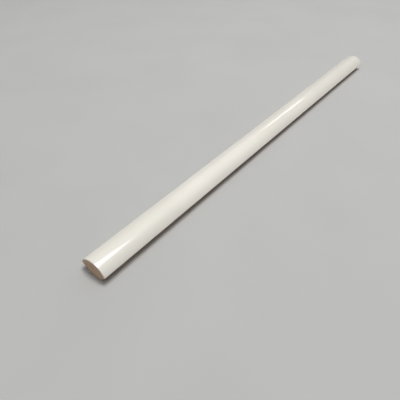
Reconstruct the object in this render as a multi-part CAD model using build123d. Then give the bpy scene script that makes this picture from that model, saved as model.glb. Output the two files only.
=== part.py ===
from build123d import *

import math
import os

# Ceramic pencil liner: one pressed and fired bar with a glazed, rounded crown.
# +X runs along the bar, +Y across it, and +Z up out of the crown.
# The origin is in the plane of the back face, under the middle of the bar.

# Driving dimensions in millimetres
LINER_LENGTH = 305.0
LINER_WIDTH = 15.9
LINER_HEIGHT = 10.0
SHOULDER_HEIGHT = 4.8  # from the back face up to the widest line of the section
SHOULDER_RADIUS = 0.85  # long edge where the crown turns under
BACK_WIDTH = 5.8  # flat strip that beds on the wall
HEEL_RADIUS = 2.4  # round between the back face and the undercut flank
END_ARRIS = 0.4  # softened edge all round each end


def crown_arc(shoulder):
    """Arc over the top that runs tangent into the shoulder round at each side."""
    rise = LINER_HEIGHT - shoulder.Y
    radius = (shoulder.X**2 + rise**2 - SHOULDER_RADIUS**2) / (2 * (rise - SHOULDER_RADIUS))
    centre = Vector(0, LINER_HEIGHT - radius)
    join_angle = math.degrees(math.atan2(shoulder.Y - centre.Y, shoulder.X))
    return CenterArc(centre, radius, join_angle, 180 - 2 * join_angle), join_angle


def flank_normal_angle(heel, shoulder):
    """Direction, in degrees, that the straight flank faces when it is tangent to both rounds."""
    reach = shoulder - heel
    centre_line_angle = math.atan2(reach.Y, reach.X)
    lean = math.acos((HEEL_RADIUS - SHOULDER_RADIUS) / reach.length)
    return math.degrees(centre_line_angle - lean)


def liner_section():
    """Cross-section: crown, shoulder rounds, undercut flanks, heel rounds and flat back."""
    shoulder = Vector(LINER_WIDTH / 2 - SHOULDER_RADIUS, SHOULDER_HEIGHT)
    heel = Vector(BACK_WIDTH / 2, HEEL_RADIUS)
    crown, join_angle = crown_arc(shoulder)
    flank_angle = flank_normal_angle(heel, shoulder)

    heel_round = CenterArc(heel, HEEL_RADIUS, -90, flank_angle + 90)
    shoulder_round = CenterArc(shoulder, SHOULDER_RADIUS, flank_angle, join_angle - flank_angle)
    flank = Line(heel_round @ 1, shoulder_round @ 0)
    right_side = Curve() + [heel_round, flank, shoulder_round]
    left_side = mirror(right_side, about=Plane.YZ)
    back = Line((-BACK_WIDTH / 2, 0), (BACK_WIDTH / 2, 0))
    return make_face([*crown.edges(), *right_side.edges(), *back.edges(), *left_side.edges()])


def pencil_liner():
    """The whole bar: the section run along X, with the edges of both ends softened."""
    bar = extrude(Plane.YZ * liner_section(), amount=LINER_LENGTH / 2, both=True)
    ends = bar.faces().filter_by(Axis.X)
    bar = fillet(ends.edges(), radius=END_ARRIS)
    bar.label = "pencil_liner"
    return bar


os.makedirs("parts", exist_ok=True)
export_step(pencil_liner(), "parts/pencil_liner.step")
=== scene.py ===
"""Dresses the fixed frame of a ceramic pencil liner in its glaze and bare clay, in a plain studio."""

import math

import bpy
from bpy.props import FloatProperty, FloatVectorProperty, IntProperty, PointerProperty
from mathutils import Euler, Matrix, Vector


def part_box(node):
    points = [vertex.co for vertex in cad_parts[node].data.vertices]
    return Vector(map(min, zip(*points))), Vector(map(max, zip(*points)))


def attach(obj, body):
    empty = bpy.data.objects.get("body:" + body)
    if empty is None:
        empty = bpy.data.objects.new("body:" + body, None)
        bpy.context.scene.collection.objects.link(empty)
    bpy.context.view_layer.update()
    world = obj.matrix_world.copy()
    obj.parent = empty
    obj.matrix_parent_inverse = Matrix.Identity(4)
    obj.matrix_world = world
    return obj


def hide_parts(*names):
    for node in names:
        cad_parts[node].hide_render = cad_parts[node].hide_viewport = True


bl_info = {
    "name": "Pencil Liner Tile",
    "version": (1, 0, 0),
    "blender": (4, 5, 0),
    "location": "3D View > Sidebar > Pencil Liner",
    "description": "Builds a glazed ceramic pencil liner tile and a plain studio round it",
    "category": "Add Mesh",
}

MM = 0.001
LINER_NODE = "pencil_liner"
REACH_NAME = "glaze_reach_mm"
SENSOR_WIDTH = 36.0

# Ceiling panels: their height, their outlines, and how much of its box an outline fills
CEILING = 1.46
PANEL_OUTLINES = {"key": "RECTANGLE", "near": "RECTANGLE", "far": "ELLIPSE"}
BOX_SHARES = {"RECTANGLE": 1.0, "ELLIPSE": math.pi / 4}

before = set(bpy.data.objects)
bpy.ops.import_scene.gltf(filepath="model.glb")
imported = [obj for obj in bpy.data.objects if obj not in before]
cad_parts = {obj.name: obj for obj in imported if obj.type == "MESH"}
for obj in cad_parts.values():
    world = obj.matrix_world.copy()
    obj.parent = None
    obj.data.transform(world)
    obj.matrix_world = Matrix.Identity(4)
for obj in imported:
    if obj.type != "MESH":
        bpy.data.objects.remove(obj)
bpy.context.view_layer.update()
LINER_LOW, LINER_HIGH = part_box(LINER_NODE)


# Kinds of value that a user sets


def distance(name, description, default):
    """A length whose default is in metres."""
    return FloatProperty(
        name=name, description=description, default=default, min=0.0, precision=5,
        unit="LENGTH", subtype="DISTANCE",
    )


def place(name, description, default):
    """A point in the liner's own frame, in metres."""
    return FloatVectorProperty(
        name=name, description=description, default=default, size=3, precision=4,
        unit="LENGTH", subtype="TRANSLATION",
    )


def turned(name, description, degrees):
    """An angle whose default is given in degrees."""
    return FloatProperty(
        name=name, description=description, default=math.radians(degrees), subtype="ANGLE"
    )


def share(name, description, default):
    """A share from 0 to 1."""
    return FloatProperty(
        name=name, description=description, default=default, min=0.0, max=1.0, subtype="FACTOR"
    )


def amount(name, description, default):
    """A plain number of zero or more."""
    return FloatProperty(name=name, description=description, default=default, min=0.0)


def whole(name, description, default):
    """A count of one or more."""
    return IntProperty(name=name, description=description, default=default, min=1)


def colour(name, description, default):
    """A scene-linear colour."""
    return FloatVectorProperty(
        name=name, description=description, default=default, size=3, min=0.0, max=1.0,
        subtype="COLOR",
    )


# Values of the liner and the studio


class LinerShape(bpy.types.PropertyGroup):
    """Sizes of the fired bar and of the coat of glaze on it."""

    length: distance("Length", "End to end", LINER_HIGH.x - LINER_LOW.x)
    width: distance("Width", "Across the two shoulders", LINER_HIGH.y - LINER_LOW.y)
    height: distance("Height", "Back face to crown", 10.0 * MM)
    shoulder_height: distance("Shoulder Height", "Back face to the widest line", 4.8 * MM)
    shoulder_radius: distance("Shoulder Radius", "Round of the long edges", 0.85 * MM)
    back_width: distance("Back Width", "Flat strip that beds on the wall", 5.8 * MM)
    heel_radius: distance("Heel Radius", "Round between back and flank", 2.4 * MM)
    end_arris: distance("End Arris", "Round of the edges at both ends", 0.4 * MM)
    glaze_line: distance("Glaze Line", "Height on the flank where the glaze stops", 3.2 * MM)
    line_wander: distance("Line Wander", "How far the glaze line strays up and down", 0.45 * MM)
    wander_length: distance("Wander Length", "Distance between those strays", 11.0 * MM)
    glaze_lap: distance("Glaze Lap", "How far the glaze laps onto the end faces", 0.2 * MM)
    coat: distance("Coat", "How far the glaze stands proud of the clay", 0.12 * MM)
    edge_bead: distance("Edge Bead", "Extra glaze gathered above the glaze line", 0.06 * MM)
    ripple_height: distance("Ripple Height", "Depth of the slow waves in the glaze", 0.035 * MM)
    ripple_length: distance("Ripple Length", "Distance between those waves", 14.0 * MM)
    grain_height: distance("Grain Height", "Depth of the hollows in the bare clay", 0.05 * MM)
    grain_size: distance("Grain Size", "Distance between those hollows", 1.9 * MM)
    body_rings: whole("Body Rings", "Rings of faces from an arris to mid-length", 190)
    arris_rings: whole("Arris Rings", "Rings of faces round each arris", 6)
    face_rings: whole("Face Rings", "Rings of faces on each end face", 24)
    arc_steps: whole("Arc Steps", "Points along each stretch of the section", 12)
    seed: whole("Seed", "Picks the pattern of waves, wander and grain", 7)


class LinerFinish(bpy.types.PropertyGroup):
    """Colours, gloss and fine texture of the glaze and the clay."""

    glaze: colour("Glaze", "Full thickness of glaze", (0.87, 0.834, 0.757))
    # Glaze Shade is partly a random tone of thinner glaze and partly painted shade: its darker clouds
    # darken the glaze colour itself
    glaze_shade: colour("Glaze Shade", "Where the glaze is a little thinner", (0.83, 0.80, 0.722))
    glaze_edge: colour("Glaze Edge", "Thin glaze with clay showing through", (0.92, 0.80, 0.70))
    edge_fade: distance("Edge Fade", "Width over which the thin edge turns white", 0.45 * MM)
    # This also sets the size of those painted-shade clouds
    cloud_size: distance("Glaze Cloud Size", "Size of the thicker and thinner parts", 45.0 * MM)
    surface_rough: share("Glaze Surface Roughness", "Roughness of the clear surface", 0.05)
    gloss: share("Glaze Body Roughness", "Roughness under the clear surface", 0.40)
    gloss_thin: share("Thin Glaze Roughness", "The same where the glaze is thinner", 0.46)
    peel_size: distance("Peel Size", "Distance between faint dimples in the glaze", 2.4 * MM)
    peel_depth: distance("Peel Depth", "Depth of those dimples", 0.004 * MM)
    fray_size: distance("Fray Size", "Distance between notches in the glaze line", 0.5 * MM)
    fray_depth: distance("Fray Depth", "Depth of those notches", 0.16 * MM)
    clay: colour("Clay", "Fired clay", (0.65, 0.472, 0.331))
    clay_dark: colour("Clay Dark", "Darker patches of the clay", (0.57, 0.393, 0.275))
    clay_fleck: colour("Clay Fleck", "Pale grit in the clay", (0.64, 0.53, 0.42))
    clay_rough: share("Clay Roughness", "Roughness of the bare clay", 0.9)
    fleck_rough: share("Fleck Roughness", "Roughness of the pale grit", 0.75)
    patch_size: distance("Clay Patch Size", "Size of the darker patches", 2.2 * MM)
    grit_size: distance("Grit Size", "Distance between specks of grit", 0.35 * MM)
    pore_size: distance("Pore Size", "Distance between fine pores in the clay", 0.28 * MM)
    pore_depth: distance("Pore Depth", "Depth of those pores", 0.06 * MM)


class StudioLook(bpy.types.PropertyGroup):
    """Floor, lights and camera."""

    floor: colour("Floor", "Plain pale floor", (0.50, 0.50, 0.49))
    floor_size: distance("Floor Size", "Side of the square floor", 8.0)
    backdrop: colour("Backdrop", "What is seen past the floor", (0.75, 0.75, 0.74))
    backdrop_top: share("Backdrop Top", "Rise of a direction where its mirror image ends", 0.10)
    fade_start: distance("Fade Start", "From the liner to where the floor starts to fade", 0.5)
    fade_end: distance("Fade End", "From the liner to where it has become the backdrop", 2.2)
    horizon: amount("Horizon Light", "Radiance of the room at the level of the floor", 0.22)
    lean: FloatVectorProperty(
        name="Room Lean", description="Pulls the level light to one side; 1 darkens the other",
        default=(-0.3, 0.42), size=2, min=-1.0, max=1.0,
    )
    zenith: amount("Zenith Light", "Radiance of the room straight above", 0.20)
    glow: amount("Room Glow", "Extra radiance of the brightest patch of the room", 3.0)
    glow_heading: turned("Room Glow Heading", "Middle of the patch, turned from the length", -90.0)
    glow_height: turned("Room Glow Height", "Middle of the patch above the level", 75.0)
    glow_spread: turned("Room Glow Spread", "From the middle of the patch to its edge", 22.0)
    wash: amount("Wash Light", "Extra radiance of a band of the room ahead of the liner", 0.5)
    wash_start: turned("Wash Start", "Angle of the band's near edge, forward of sideways", 34.0)
    wash_end: turned("Wash End", "Angle of the band's far edge, forward of sideways", 49.0)
    wash_fade: turned("Wash Fade", "Half the width over which the band fades", 5.0)
    wash_low: share("Wash Low", "Rise of a direction where the band starts to show", 0.4)
    wash_high: share("Wash High", "Rise of a direction where the band is at its full", 0.65)
    key_panel: place("Key Panel", "Main panel, over the liner", (0.125, -0.07, CEILING))
    key_width: distance("Key Panel Width", "Side of the panel along the liner", 0.35)
    key_depth: distance("Key Panel Depth", "Side of the panel across the liner", 0.70)
    key_turn: turned("Key Panel Turn", "Panel turned on the ceiling", 0.0)
    key_light: amount("Key Panel Light", "Radiance of the panel", 13.0)
    near_panel: place("Near Panel", "Shows at the near end", (0.335, -0.118, CEILING))
    near_width: distance("Near Panel Width", "Side of the panel along the liner", 0.26)
    near_depth: distance("Near Panel Depth", "Side of the panel across the liner", 0.59)
    near_turn: turned("Near Panel Turn", "Panel turned on the ceiling", 21.5)
    near_light: amount("Near Panel Light", "Radiance of the panel", 7.0)
    far_panel: place("Far Panel", "Shows towards the far end", (2.11, 0.45, CEILING))
    far_width: distance("Far Panel Width", "Longer axis of the oval panel", 0.62)
    far_depth: distance("Far Panel Depth", "Shorter axis of the oval panel", 0.38)
    far_turn: turned("Far Panel Turn", "Panel turned on the ceiling", -27.0)
    far_light: amount("Far Panel Light", "Radiance of the panel", 4.0)
    camera: place("Camera", "Lens of the camera", (-0.20471, -0.10167, 0.13808))
    heading: turned("Heading", "View direction, turned from the liner's length", 38.22)
    dip: turned("Dip", "View direction below the level", 41.514)
    focal_length: FloatProperty(
        name="Focal Length", description=f"With a sensor {SENSOR_WIDTH:g} mm wide",
        default=33.65, min=1.0, unit="CAMERA",
    )


# Node trees written as sums


class Wire:
    """A node's output. A sum with it adds a Math node to its tree."""

    def __init__(self, graph, socket):
        self.graph = graph
        self.socket = socket

    def __add__(self, other):
        return self.graph.math("ADD", self, other)

    def __sub__(self, other):
        return self.graph.math("SUBTRACT", self, other)

    def __rsub__(self, other):
        return self.graph.math("SUBTRACT", other, self)

    def __mul__(self, other):
        return self.graph.math("MULTIPLY", self, other)

    def __truediv__(self, other):
        return self.graph.math("DIVIDE", self, other)

    def __rtruediv__(self, other):
        return self.graph.math("DIVIDE", other, self)

    def __pow__(self, other):
        return self.graph.math("POWER", self, other)

    def output(self, title):
        """Another output of the same node."""
        return Wire(self.graph, pick(self.socket.node.outputs, title))


def pick(sockets, key):
    """The socket in use with that name or number."""
    in_use = [socket for socket in sockets if socket.enabled]
    if isinstance(key, int):
        return in_use[key]
    return next(socket for socket in in_use if socket.name == key)


class Graph:
    """Adds nodes to one tree. A node is fed numbers, colours, materials or Wires."""

    ROWS = 8
    SPACING = (190.0, -170.0)

    def __init__(self, tree):
        self.tree = tree
        self.count = 0

    def node(self, kind, feeds=None, **settings):
        made = self.tree.nodes.new(kind)
        column, row = divmod(self.count, self.ROWS)
        made.location = (column * self.SPACING[0], row * self.SPACING[1])
        self.count += 1
        for name, value in settings.items():
            setattr(made, name, value)
        for key, value in (feeds or {}).items():
            socket = pick(made.inputs, key)
            if isinstance(value, Wire):
                self.tree.links.new(value.socket, socket)
            else:
                socket.default_value = value
        return made

    def add(self, kind, feeds=None, **settings):
        """One node, given by its first output."""
        return Wire(self, pick(self.node(kind, feeds, **settings).outputs, 0))

    def math(self, operation, *values, clamp=False):
        feeds = dict(enumerate(values))
        return self.add("ShaderNodeMath", feeds, operation=operation, use_clamp=clamp)

    def vector(self, operation, *values):
        return self.add("ShaderNodeVectorMath", dict(enumerate(values)), operation=operation)

    def scale(self, vector, by):
        return self.add("ShaderNodeVectorMath", {0: vector, "Scale": by}, operation="SCALE")

    def combine(self, x=0.0, y=0.0, z=0.0):
        return self.add("ShaderNodeCombineXYZ", {0: x, 1: y, 2: z})

    def part(self, vector, axis):
        return self.add("ShaderNodeSeparateXYZ", {0: vector}).output(axis)

    def ease(self, value, low, high):
        """0 below low and 1 above high, with a smooth step between."""
        feeds = {"Value": value, "From Min": low, "From Max": high}
        return self.add("ShaderNodeMapRange", feeds, interpolation_type="SMOOTHSTEP")

    def blend(self, part, first, second):
        """A number between two numbers."""
        return self.add("ShaderNodeMix", {"Factor": part, "A": first, "B": second})

    def tint(self, part, first, second):
        """A colour between two colours."""
        feeds = {"Factor": part, "A": first, "B": second}
        return self.add("ShaderNodeMix", feeds, data_type="RGBA")

    def noise(self, vector, size, seed=0.0, detail=2.0):
        """Soft noise from 0 to 1, in lumps of about that size."""
        feeds = {"Vector": vector, "W": seed, "Scale": 1.0 / size, "Detail": detail}
        return self.add("ShaderNodeTexNoise", feeds, noise_dimensions="4D")


def new_group(name, kind, inputs, outputs):
    """An empty node group, as its Graph and the Wires that it is given by name."""
    tree = bpy.data.node_groups.new(name, kind)
    for title, (socket_type, default) in inputs.items():
        socket = tree.interface.new_socket(name=title, in_out="INPUT", socket_type=socket_type)
        if default is not None:
            socket.default_value = default
    for title, socket_type in outputs.items():
        tree.interface.new_socket(name=title, in_out="OUTPUT", socket_type=socket_type)
    graph = Graph(tree)
    given = graph.node("NodeGroupInput")
    return graph, {title: Wire(graph, pick(given.outputs, title)) for title in inputs}


# Section outline


def arc(centre, radius, start, end, pieces=1):
    """Bezier stretches along an arc, each one as (start, handle, handle, end)."""
    turn = (end - start) / pieces
    pull = radius * 4 / 3 * math.tan(turn / 4)

    def at(angle):
        outward = Vector((math.cos(angle), math.sin(angle)))
        return centre + radius * outward, pull * outward.orthogonal()

    stretches = []
    for piece in range(pieces):
        first, first_pull = at(start + turn * piece)
        last, last_pull = at(start + turn * (piece + 1))
        stretches.append((first, first + first_pull, last - last_pull, last))
    return stretches


def straight(first, last):
    """One straight Bezier stretch."""
    return [(first, first.lerp(last, 1 / 3), first.lerp(last, 2 / 3), last)]


def section_stretches(shape):
    """The section, anticlockwise from the right end of the crown, as Bezier stretches."""
    shoulder = Vector((shape.width / 2 - shape.shoulder_radius, shape.shoulder_height))
    heel = Vector((shape.back_width / 2, shape.heel_radius))
    rise = shape.height - shoulder.y
    crown_radius = (shoulder.x**2 + rise**2 - shape.shoulder_radius**2) / (
        2 * (rise - shape.shoulder_radius)
    )
    crown = Vector((0.0, shape.height - crown_radius))
    join = math.atan2(shoulder.y - crown.y, shoulder.x)
    reach = shoulder - heel
    lean = math.acos((shape.heel_radius - shape.shoulder_radius) / reach.length)
    flank = math.atan2(reach.y, reach.x) - lean

    def across(point):
        return Vector((-point.x, point.y))

    left_shoulder = arc(across(shoulder), shape.shoulder_radius, math.pi - join, math.pi - flank)
    left_heel = arc(across(heel), shape.heel_radius, math.pi - flank, 1.5 * math.pi)
    right_heel = arc(heel, shape.heel_radius, -0.5 * math.pi, flank)
    right_shoulder = arc(shoulder, shape.shoulder_radius, flank, join)
    return [
        *arc(crown, crown_radius, join, math.pi - join, pieces=6),
        *left_shoulder,
        *straight(left_shoulder[-1][-1], left_heel[0][0]),
        *left_heel,
        *straight(left_heel[-1][-1], right_heel[0][0]),
        *right_heel,
        *straight(right_heel[-1][-1], right_shoulder[0][0]),
        *right_shoulder,
    ]


def section_curve(shape):
    """A closed Bezier curve of the section, square to the liner's length."""
    stretches = section_stretches(shape)
    curve = bpy.data.curves.new("liner_section", "CURVE")
    curve.dimensions = "3D"
    curve.resolution_u = shape.arc_steps
    spline = curve.splines.new("BEZIER")
    spline.bezier_points.add(len(stretches) - 1)
    spline.use_cyclic_u = True
    spline.resolution_u = shape.arc_steps
    for index, point in enumerate(spline.bezier_points):
        start, leaving = stretches[index][:2]
        arriving = stretches[index - 1][2]
        point.handle_left_type = "FREE"
        point.handle_right_type = "FREE"
        point.co = (0.0, *start)
        point.handle_left = (0.0, *arriving)
        point.handle_right = (0.0, *leaving)
    return curve


# Liner mesh by Geometry Nodes


def liner_tree():
    """Runs a section outline into the liner, in rings from one face centre to the other."""
    length_inputs = (
        "Length", "Height", "End Arris", "Glaze Line", "Line Wander", "Wander Length", "Glaze Lap",
        "Coat", "Edge Bead", "Ripple Height", "Ripple Length", "Grain Height", "Grain Size",
    )
    count_inputs = ("Body Rings", "Arris Rings", "Face Rings", "Seed")
    inputs = {"Outline": ("NodeSocketGeometry", None)}
    inputs.update({title: ("NodeSocketFloat", 1.0 * MM) for title in length_inputs})
    inputs.update({title: ("NodeSocketInt", 1) for title in count_inputs})
    inputs["Finish"] = ("NodeSocketMaterial", None)
    g, given = new_group(
        "Liner sweep", "GeometryNodeTree", inputs, {"Liner": "NodeSocketGeometry"}
    )

    # A grid of rings along the liner and columns round its section
    outline = g.add("GeometryNodeCurveToPoints", {0: given["Outline"]}, mode="EVALUATED")
    columns = g.add("GeometryNodeAttributeDomainSize", {0: outline}, component="POINTCLOUD")
    body, arris, face = (given[f"{part} Rings"] for part in ("Body", "Arris", "Face"))
    rings = (body + arris + face) * 2.0
    grid_feeds = {
        "Size X": rings,
        "Size Y": columns,
        "Vertices X": rings + 1.0,
        "Vertices Y": columns + 1.0,
    }
    grid = g.add("GeometryNodeMeshGrid", grid_feeds)
    position = g.add("GeometryNodeInputPosition")
    ring = g.math("ROUND", g.part(position, "X") + rings / 2.0)
    column = g.math("MODULO", g.math("ROUND", g.part(position, "Y") + columns / 2.0), columns)

    # Where a ring lies: on the end face, then round the arris, then along the body
    crowding = 1.8
    end = g.math("SIGN", ring - rings / 2.0)
    step = g.math("MINIMUM", ring, rings - ring)
    spread = 1.0 - (1.0 - g.math("DIVIDE", step, face, clamp=True)) ** crowding
    turn = g.math("DIVIDE", step - face, arris, clamp=True) * (math.pi / 2)
    along = g.math("DIVIDE", step - face - arris, body, clamp=True)
    radius = given["End Arris"]
    run = along * (given["Length"] / 2.0 - radius)
    depth = radius * (1.0 - g.math("COSINE", turn)) + run
    inset = radius * (1.0 - g.math("SINE", turn))

    # The smooth surface, from the point of the section that a column follows
    def sampled(value):
        feeds = {"Geometry": outline, "Value": value, "Index": column}
        return g.add("GeometryNodeSampleIndex", feeds, data_type="FLOAT_VECTOR")

    section = sampled(position)
    outward = g.vector("CROSS_PRODUCT", sampled(outline.output("Tangent")), (1.0, 0.0, 0.0))
    rim = g.vector("SUBTRACT", section, g.scale(outward, inset))
    middle = g.combine(z=given["Height"] / 2.0)
    spoke = g.vector("SUBTRACT", rim, middle)
    flat = g.vector("ADD", middle, g.scale(spoke, spread))
    smooth = g.vector("ADD", flat, g.combine(x=end * (given["Length"] / 2.0 - depth)))
    end_facing = g.combine(x=end * g.math("COSINE", turn))
    facing = g.vector("ADD", g.scale(outward, g.math("SINE", turn)), end_facing)

    # How far a point lies inside the glaze; below zero it is bare clay
    wander_seed = given["Seed"] + 0.0
    stray = g.noise(smooth, given["Wander Length"], wander_seed, detail=3.0) - 0.5
    wander = stray * given["Line Wander"] * 2.0
    height = g.part(section, "Z")
    flank_reach = height - given["Glaze Line"] + wander
    from_rim = g.vector("LENGTH", spoke) * (1.0 - spread)
    face_reach = radius * turn + run - from_rim + given["Glaze Lap"]
    reach = g.math("MINIMUM", flank_reach, face_reach)
    step_foot = -0.10 * MM
    step_top = 0.12 * MM
    glazed = g.ease(reach, step_foot, step_top)

    # Relief, measured inwards from the smooth surface
    ripple_seed = wander_seed + 10.0
    ripple = g.noise(smooth, given["Ripple Length"], ripple_seed, detail=1.0)
    grain_seed = wander_seed + 20.0
    grain = g.noise(smooth, given["Grain Size"], grain_seed, detail=2.0)
    on_side = g.math("SINE", turn)
    heel_top = 1.0 * MM
    off_back = g.blend(on_side, 1.0, g.ease(height, 0.0, heel_top))
    clay_sink = grain * given["Grain Height"] + given["Coat"] * off_back
    bead_crest = 0.3 * MM
    bead_end = 1.0 * MM
    past_crest = g.ease(flank_reach, bead_crest, bead_end)
    bead = g.ease(flank_reach, 0.0, bead_crest) * (1.0 - past_crest)
    glaze_sink = ripple * given["Ripple Height"] - bead * given["Edge Bead"] * on_side
    sink = g.blend(glazed, clay_sink, glaze_sink)
    surface = g.vector("SUBTRACT", smooth, g.scale(facing, sink))

    # The reach is stored on the plain grid, before the grid takes the liner's shape
    store = {"Geometry": grid, "Name": REACH_NAME, "Value": reach / MM}
    marked = g.add("GeometryNodeStoreNamedAttribute", store, data_type="FLOAT", domain="POINT")
    shaped = g.add("GeometryNodeSetPosition", {"Geometry": marked, "Position": surface})
    weld = 0.002 * MM
    closed = g.add("GeometryNodeMergeByDistance", {"Geometry": shaped, "Distance": weld})
    outside = g.add("GeometryNodeFlipFaces", {"Mesh": closed})
    rounded = g.add("GeometryNodeSetShadeSmooth", {"Geometry": outside})
    real = g.add("GeometryNodeRealizeInstances", {"Geometry": rounded})
    finished = {"Geometry": real, "Material": given["Finish"]}
    liner = g.add("GeometryNodeSetMaterial", finished)
    g.node("NodeGroupOutput", {"Liner": liner})
    return g.tree


def liner_mesh(shape, material):
    """The liner as a plain mesh, from its section curve and the node tree."""
    source = bpy.data.objects.new("liner_source", section_curve(shape))
    modifier = source.modifiers.new("Liner sweep", "NODES")
    modifier.node_group = liner_tree()
    for item in modifier.node_group.interface.items_tree:
        setting = item.name.lower().replace(" ", "_")
        if item.in_out == "INPUT" and hasattr(shape, setting):
            modifier[item.identifier] = getattr(shape, setting)
        elif item.name == "Finish":
            modifier[item.identifier] = material
    bpy.context.scene.collection.objects.link(source)
    depsgraph = bpy.context.evaluated_depsgraph_get()
    evaluated = source.evaluated_get(depsgraph)
    mesh = bpy.data.meshes.new_from_object(
        evaluated, preserve_all_data_layers=True, depsgraph=depsgraph
    )
    outline = source.data
    bpy.data.objects.remove(source)
    bpy.data.curves.remove(outline)
    mesh.name = "glazed_liner"
    return mesh


# Materials


def mottle_group():
    """Cloudy patches of a chosen size and sharpness, from 0 to 1."""
    name = "Mottle"
    if name in bpy.data.node_groups:
        return bpy.data.node_groups[name]
    inputs = {
        "Vector": ("NodeSocketVector", None),
        "Size": ("NodeSocketFloat", 10 * MM),
        "Sharpness": ("NodeSocketFloat", 0.5),
        "Seed": ("NodeSocketFloat", 0.0),
    }
    g, given = new_group(name, "ShaderNodeTree", inputs, {"Patches": "NodeSocketFloat"})
    cloud = g.noise(given["Vector"], given["Size"], given["Seed"], detail=3.0)
    softest = 0.25
    hardest = 0.01
    softness = (1.0 - given["Sharpness"]) * softest + hardest
    g.node("NodeGroupOutput", {"Patches": g.ease(cloud, 0.5 - softness, softness + 0.5)})
    return g.tree


def mottle(graph, vector, size, sharpness, seed):
    """Places the mottle group in a material."""
    node = graph.tree.nodes.new("ShaderNodeGroup")
    node.node_tree = mottle_group()
    graph.tree.links.new(vector.socket, node.inputs["Vector"])
    node.inputs["Size"].default_value = size
    node.inputs["Sharpness"].default_value = sharpness
    node.inputs["Seed"].default_value = seed
    return Wire(graph, node.outputs["Patches"])


def new_material(name):
    """A material with a Principled shader, as its Graph, the shader and object coordinates."""
    material = bpy.data.materials.new(name)
    material.use_nodes = True
    tree = material.node_tree
    tree.nodes.clear()
    graph = Graph(tree)
    shader = graph.node("ShaderNodeBsdfPrincipled")
    output = graph.node("ShaderNodeOutputMaterial")
    tree.links.new(shader.outputs[0], output.inputs["Surface"])
    coordinates = graph.add("ShaderNodeTexCoord").output("Object")
    return material, graph, shader, coordinates


def opaque(rgb):
    """A colour with full alpha."""
    return (*rgb, 1.0)


def liner_material(finish):
    """Gloss white glaze over bare clay, told apart by how far a point lies inside the glaze."""
    material, g, shader, at = new_material("glazed_body")
    reach = g.add("ShaderNodeAttribute", attribute_name=REACH_NAME).output("Fac")
    notches = g.noise(at, finish.fray_size, seed=3.0, detail=3.0) - 0.5
    fray = notches * (finish.fray_depth / MM)
    blur = 0.06
    glazed = g.ease(reach + fray, -blur, blur)

    # Glaze: warm white, with darker clouds that are partly a random tone of thinner glaze and partly
    # painted shade, and tinged by the clay at its very edge
    # The seed places the darker clouds so that they stand in for shade along the liner, as painted
    # shade; the same clouds also make the glaze rougher
    thin = mottle(g, at, finish.cloud_size, sharpness=0.4, seed=8.0)
    body = g.tint(thin, opaque(finish.glaze), opaque(finish.glaze_shade))
    depth = g.ease(reach + fray, 0.0, finish.edge_fade / MM)
    glaze = g.tint(depth, opaque(finish.glaze_edge), body)
    peel = g.noise(at, finish.peel_size, seed=5.0, detail=1.0) * (finish.peel_depth / MM)
    glaze_roughness = g.blend(thin, finish.gloss, finish.gloss_thin)

    # Clay: mottled buff with fine pale grit, which covers only the peaks of its noise
    patches = mottle(g, at, finish.patch_size, sharpness=0.3, seed=7.0)
    ground = g.tint(patches, opaque(finish.clay), opaque(finish.clay_dark))
    speck_rim = 0.62
    speck_core = 0.70
    grit = g.ease(g.noise(at, finish.grit_size, seed=9.0, detail=1.0), speck_rim, speck_core)
    fleck_strength = 0.7
    clay = g.tint(grit * fleck_strength, ground, opaque(finish.clay_fleck))
    pores = g.noise(at, finish.pore_size, seed=11.0, detail=4.0) * (finish.pore_depth / MM)
    clay_roughness = g.blend(grit, finish.clay_rough, finish.fleck_rough)

    # Both, by the mask; heights are in millimetres
    colour_here = g.tint(glazed, clay, glaze)
    roughness = g.blend(glazed, clay_roughness, glaze_roughness)
    height = g.blend(glazed, pores, peel)
    bump = g.add("ShaderNodeBump", {"Height": height, "Distance": MM})
    for socket, wire in (
        ("Base Color", colour_here),
        ("Roughness", roughness),
        ("Coat Weight", glazed),
        ("Normal", bump),
    ):
        g.tree.links.new(wire.socket, shader.inputs[socket])
    shader.inputs["IOR"].default_value = 1.45
    shader.inputs["Coat Roughness"].default_value = finish.surface_rough
    shader.inputs["Coat IOR"].default_value = 1.5
    return material


def sight_rays(graph):
    """Masks of the camera's own rays, and of those that come off gloss or through glass."""
    path = graph.add("ShaderNodeLightPath")
    by_camera = path.output("Is Camera Ray")
    by_gloss = path.output("Is Glossy Ray")
    return by_camera, graph.math("MAXIMUM", by_gloss, path.output("Is Transmission Ray"))


def floor_material(look):
    """Plain pale matt floor, which fades into the backdrop where it is seen far off."""
    material, g, shader, at = new_material("plain_floor")
    patches = mottle(g, at, 60 * MM, sharpness=0.0, seed=21.0)
    base = opaque(look.floor)
    wear = 0.96
    worn = opaque([wear * part for part in look.floor])
    g.tree.links.new(g.tint(patches, base, worn).socket, shader.inputs["Base Color"])
    shader.inputs["Roughness"].default_value = 0.85

    far_off = g.ease(g.vector("LENGTH", at), look.fade_start, look.fade_end)
    by_camera, mirrored = sight_rays(g)
    seen = g.math("MAXIMUM", by_camera, mirrored)
    backdrop = g.add("ShaderNodeEmission", {"Color": opaque(look.backdrop), "Strength": 1.0})
    lit = shader.outputs[0]
    surface = lit.links[0].to_socket
    feeds = {0: far_off * seen, 1: Wire(g, lit), 2: backdrop}
    g.tree.links.new(g.add("ShaderNodeMixShader", feeds).socket, surface)
    return material


# Studio


def add_object(name, data):
    """Links a new object with that data to the scene."""
    made = bpy.data.objects.new(name, data)
    bpy.context.scene.collection.objects.link(made)
    return made


def add_floor(look):
    """A square floor just under the liner's back face."""
    half = look.floor_size / 2
    drop = -0.01 * MM
    corners = [(-half, -half, drop), (half, -half, drop), (half, half, drop), (-half, half, drop)]
    mesh = bpy.data.meshes.new("floor")
    mesh.from_pydata(corners, [], [(0, 1, 2, 3)])
    mesh.materials.append(floor_material(look))
    add_object("floor", mesh)


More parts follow.
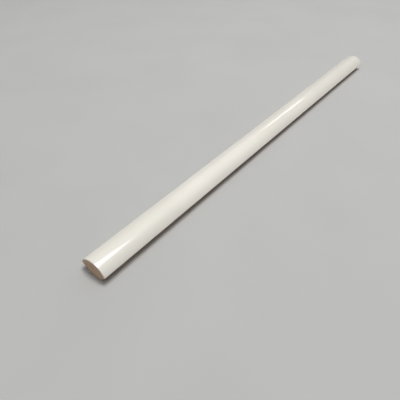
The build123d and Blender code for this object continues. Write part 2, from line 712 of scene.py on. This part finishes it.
def add_panel(look, name, outline):
    """A ceiling panel that shines straight down, from the values that begin with its name."""
    values = ("panel", "turn", "width", "depth", "light")
    at, turn, width, depth, radiance = (getattr(look, f"{name}_{value}") for value in values)
    light = bpy.data.lights.new(f"{name}_panel", "AREA")
    light.shape = outline
    light.size = width
    light.size_y = depth
    light.energy = radiance * math.pi * width * depth * BOX_SHARES[outline]
    panel = add_object(light.name, light)
    panel.location = at
    panel.rotation_euler = (0.0, 0.0, turn)


def room_radiance(graph, look, direction, upward):
    """Light of the room by direction: an even part, a bright patch, and a band across."""
    pull = graph.vector("DOT_PRODUCT", direction, (*look.lean, 0.0)).output("Value")
    horizon = (pull + 1.0) * look.horizon
    even = graph.blend(graph.ease(upward, 0.0, 1.0), horizon, look.zenith)

    turn = Euler((0.0, -look.glow_height, look.glow_heading)).to_matrix()
    nearness = graph.vector("DOT_PRODUCT", direction, turn @ Vector((1, 0, 0))).output("Value")
    patch = graph.ease(nearness, math.cos(look.glow_spread), 1.0)

    forward = graph.math("ARCSINE", graph.part(direction, "X"))
    fade = look.wash_fade
    begun = graph.ease(forward, look.wash_start - fade, look.wash_start + fade)
    over = graph.ease(forward, look.wash_end - fade, look.wash_end + fade)
    band = begun * (1.0 - over) * graph.ease(upward, look.wash_low, look.wash_high)
    return even + patch * look.glow + band * look.wash


def add_world(look):
    """Soft room light, and a pale backdrop for the camera, gloss and glass past the floor."""
    world = bpy.data.worlds.new("studio")
    world.use_nodes = True
    tree = world.node_tree
    tree.nodes.clear()
    graph = Graph(tree)
    white = opaque((1.0, 1.0, 1.0))
    direction = graph.add("ShaderNodeTexCoord").output("Generated")
    upward = graph.part(direction, "Z")
    radiance = room_radiance(graph, look, direction, upward)
    room = graph.add("ShaderNodeBackground", {"Color": white, "Strength": radiance})
    seen = graph.add("ShaderNodeBackground", {"Color": opaque(look.backdrop), "Strength": 1.0})
    by_camera, mirrored = sight_rays(graph)
    below_top = 1.0 - graph.ease(upward, 0.0, look.backdrop_top)
    shown = graph.math("MAXIMUM", by_camera, mirrored * below_top)
    mixed = graph.add("ShaderNodeMixShader", {0: shown, 1: room, 2: seen})
    output = tree.nodes.new("ShaderNodeOutputWorld")
    tree.links.new(mixed.socket, output.inputs["Surface"])
    bpy.context.scene.world = world


def add_camera(look):
    """The camera, at its measured place before the near end."""
    data = bpy.data.cameras.new("camera")
    data.lens = look.focal_length
    data.sensor_width = SENSOR_WIDTH
    data.clip_start = 0.01
    camera = add_object("camera", data)
    camera.location = look.camera
    camera.rotation_euler = Euler((math.pi / 2 - look.dip, 0.0, look.heading - math.pi / 2))
    bpy.context.scene.camera = camera


# Operators and panel


class LINER_OT_build_liner(bpy.types.Operator):
    """Builds the glazed liner over its frame"""

    bl_idname = "liner.build_liner"
    bl_label = "Build Liner"

    def execute(self, context):
        shape = context.scene.liner_shape
        material = liner_material(context.scene.liner_finish)
        liner = add_object("glazed_liner", liner_mesh(shape, material))
        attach(liner, "root")
        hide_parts(LINER_NODE)
        return {"FINISHED"}


class LINER_OT_build_studio(bpy.types.Operator):
    """Builds the floor, the lights and the camera"""

    bl_idname = "liner.build_studio"
    bl_label = "Build Studio"

    def execute(self, context):
        look = context.scene.liner_studio
        add_floor(look)
        for name, outline in PANEL_OUTLINES.items():
            add_panel(look, name, outline)
        add_world(look)
        add_camera(look)
        context.scene.view_settings.view_transform = "Standard"
        return {"FINISHED"}


class LINER_PT_panel(bpy.types.Panel):
    """Lists the sizes, the finish and the studio, with buttons that build the liner and studio"""

    bl_label = "Pencil Liner"
    bl_space_type = "VIEW_3D"
    bl_region_type = "UI"
    bl_category = "Pencil Liner"

    def draw(self, context):
        for title, group, operators in (
            ("Shape", context.scene.liner_shape, ()),
            ("Finish", context.scene.liner_finish, (LINER_OT_build_liner,)),
            ("Studio", context.scene.liner_studio, (LINER_OT_build_studio,)),
        ):
            box = self.layout.box()
            box.label(text=title)
            for name in group.bl_rna.properties.keys():
                if name not in {"rna_type", "name"}:
                    box.prop(group, name)
            for operator in operators:
                box.operator(operator.bl_idname)


CLASSES = (
    LinerShape,
    LinerFinish,
    StudioLook,
    LINER_OT_build_liner,
    LINER_OT_build_studio,
    LINER_PT_panel,
)
SETTINGS = {
    "liner_shape": LinerShape,
    "liner_finish": LinerFinish,
    "liner_studio": StudioLook,
}


def register():
    for kind in CLASSES:
        bpy.utils.register_class(kind)
    for name, kind in SETTINGS.items():
        setattr(bpy.types.Scene, name, PointerProperty(type=kind))


def unregister():
    for name in SETTINGS:
        delattr(bpy.types.Scene, name)
    for kind in reversed(CLASSES):
        bpy.utils.unregister_class(kind)


def main():
    register()
    bpy.ops.liner.build_liner()
    bpy.ops.liner.build_studio()


if __name__ == "__main__":
    main()
